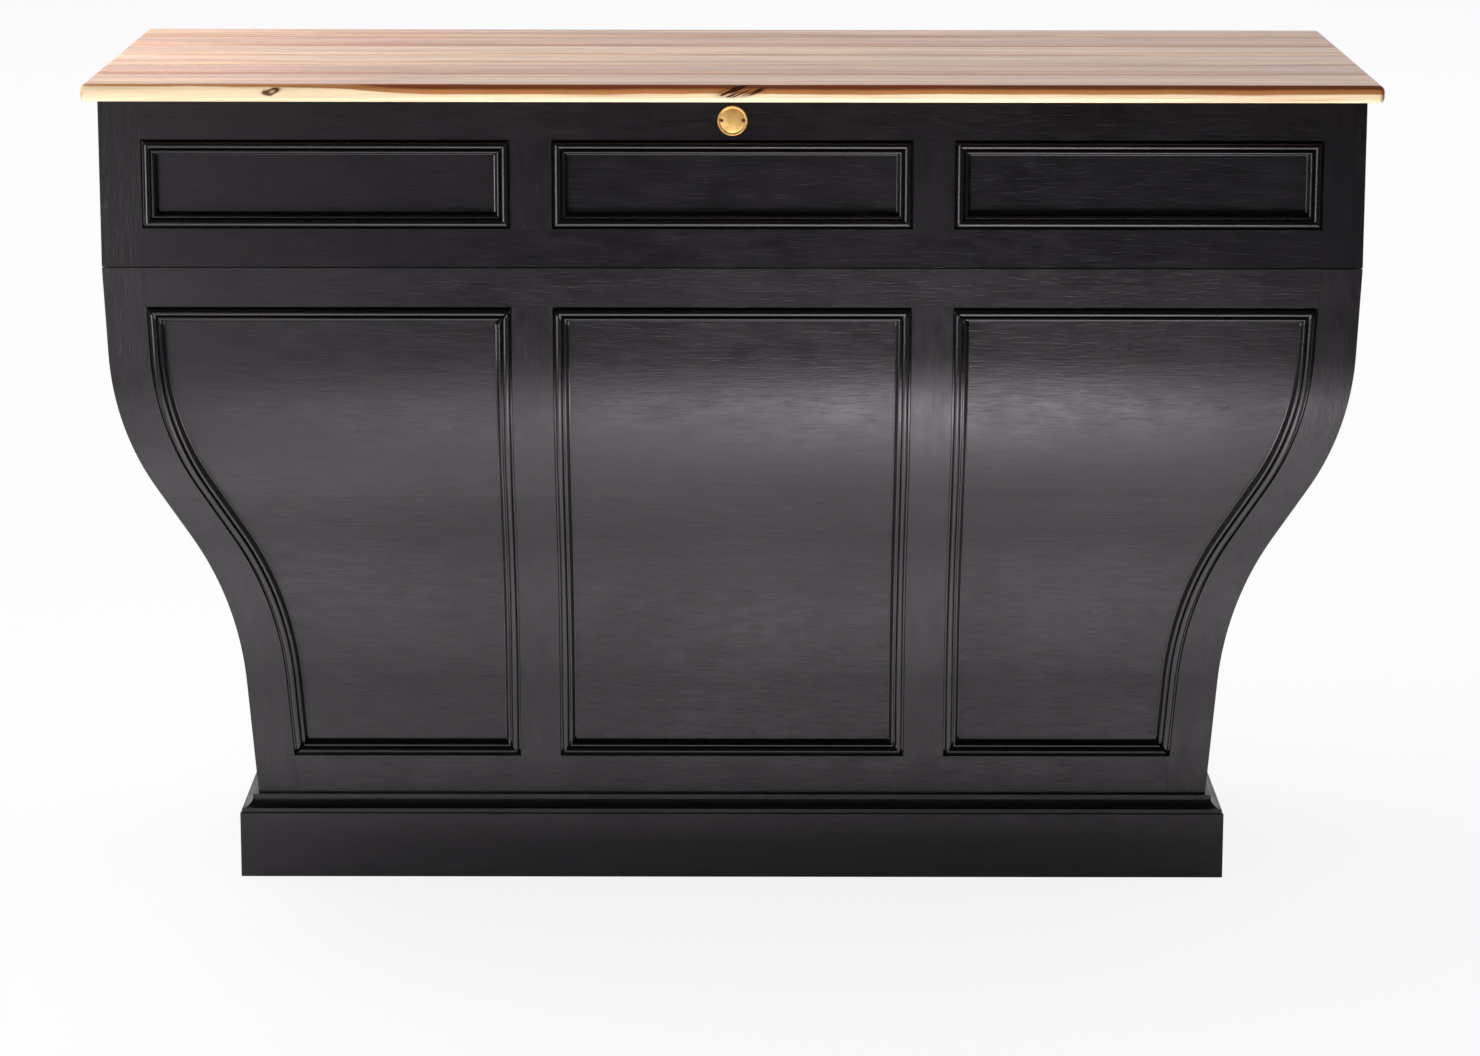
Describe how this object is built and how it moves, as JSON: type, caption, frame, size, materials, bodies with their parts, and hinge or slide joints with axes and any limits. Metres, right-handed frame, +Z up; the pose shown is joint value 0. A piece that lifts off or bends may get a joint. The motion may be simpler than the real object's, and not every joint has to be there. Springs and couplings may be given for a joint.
{
  "type": "bar counter",
  "caption": "Black panelled bar counter with a plank wood top, an ogee front and ends on a moulded plinth, and drawers over open shelves on the staff side.",
  "frame": {"origin": "on the floor, under the middle of the plank top", "axes": "+X along the counter, -Y towards the guests, +Y towards the staff, +Z up"},
  "size_m": [1.6, 0.664, 1.054],
  "materials": {
    "plank_wood": "gloss varnish",
    "black_paint": "satin black paint",
    "inside_paint": "matt black paint",
    "drawer_wood": "oiled",
    "brass": "satin"
  },
  "bodies": {
    "counter": {"body_bottom_rail": "black_paint", "body_end_left": "black_paint", "body_end_right": "black_paint", "body_moulding_centre": "black_paint", "body_moulding_left": "black_paint", "body_moulding_right": "black_paint", "body_muntin_left": "black_paint", "body_muntin_right": "black_paint", "body_panel_centre": "black_paint", "body_panel_left": "black_paint", "body_panel_right": "black_paint", "body_stile_left": "black_paint", "body_stile_right": "black_paint", "body_top_rail": "black_paint", "brass_disc": "brass", "counter_top": "plank_wood", "disc_nails": "brass", "drawer_deck": "inside_paint", "floor_board": "inside_paint", "frieze_bottom_rail": "black_paint", "frieze_divider_left": "inside_paint", "frieze_divider_right": "inside_paint", "frieze_end_left": "black_paint", "frieze_end_right": "black_paint", "frieze_moulding_centre": "black_paint", "frieze_moulding_left": "black_paint", "frieze_moulding_right": "black_paint", "frieze_muntin_left": "black_paint", "frieze_muntin_right": "black_paint", "frieze_panel_centre": "black_paint", "frieze_panel_left": "black_paint", "frieze_panel_right": "black_paint", "frieze_stile_left": "black_paint", "frieze_stile_right": "black_paint", "frieze_top_rail": "black_paint", "partition_left": "inside_paint", "partition_right": "inside_paint", "plinth_back": "black_paint", "plinth_front": "black_paint", "plinth_left": "black_paint", "plinth_right": "black_paint", "shelf_battens": "inside_paint", "shelf_centre": "inside_paint", "shelf_left": "inside_paint", "shelf_right": "inside_paint", "top_cleats": "inside_paint"},
    "drawer_left": {"drawer_left_bottom": "drawer_wood", "drawer_left_box": "drawer_wood", "drawer_left_front": "black_paint", "drawer_left_knob": "brass"},
    "drawer_centre": {"drawer_centre_bottom": "drawer_wood", "drawer_centre_box": "drawer_wood", "drawer_centre_front": "black_paint", "drawer_centre_knob": "brass"},
    "drawer_right": {"drawer_right_bottom": "drawer_wood", "drawer_right_box": "drawer_wood", "drawer_right_front": "black_paint", "drawer_right_knob": "brass"}
  },
  "joints": [
    {"name": "drawer_left_slide", "type": "slide", "parent": "counter", "child": "drawer_left", "axis": [0, 1, 0], "range_m": [0, 0.42]},
    {"name": "drawer_centre_slide", "type": "slide", "parent": "counter", "child": "drawer_centre", "axis": [0, 1, 0], "range_m": [0, 0.42]},
    {"name": "drawer_right_slide", "type": "slide", "parent": "counter", "child": "drawer_right", "axis": [0, 1, 0], "range_m": [0, 0.42]}
  ]
}
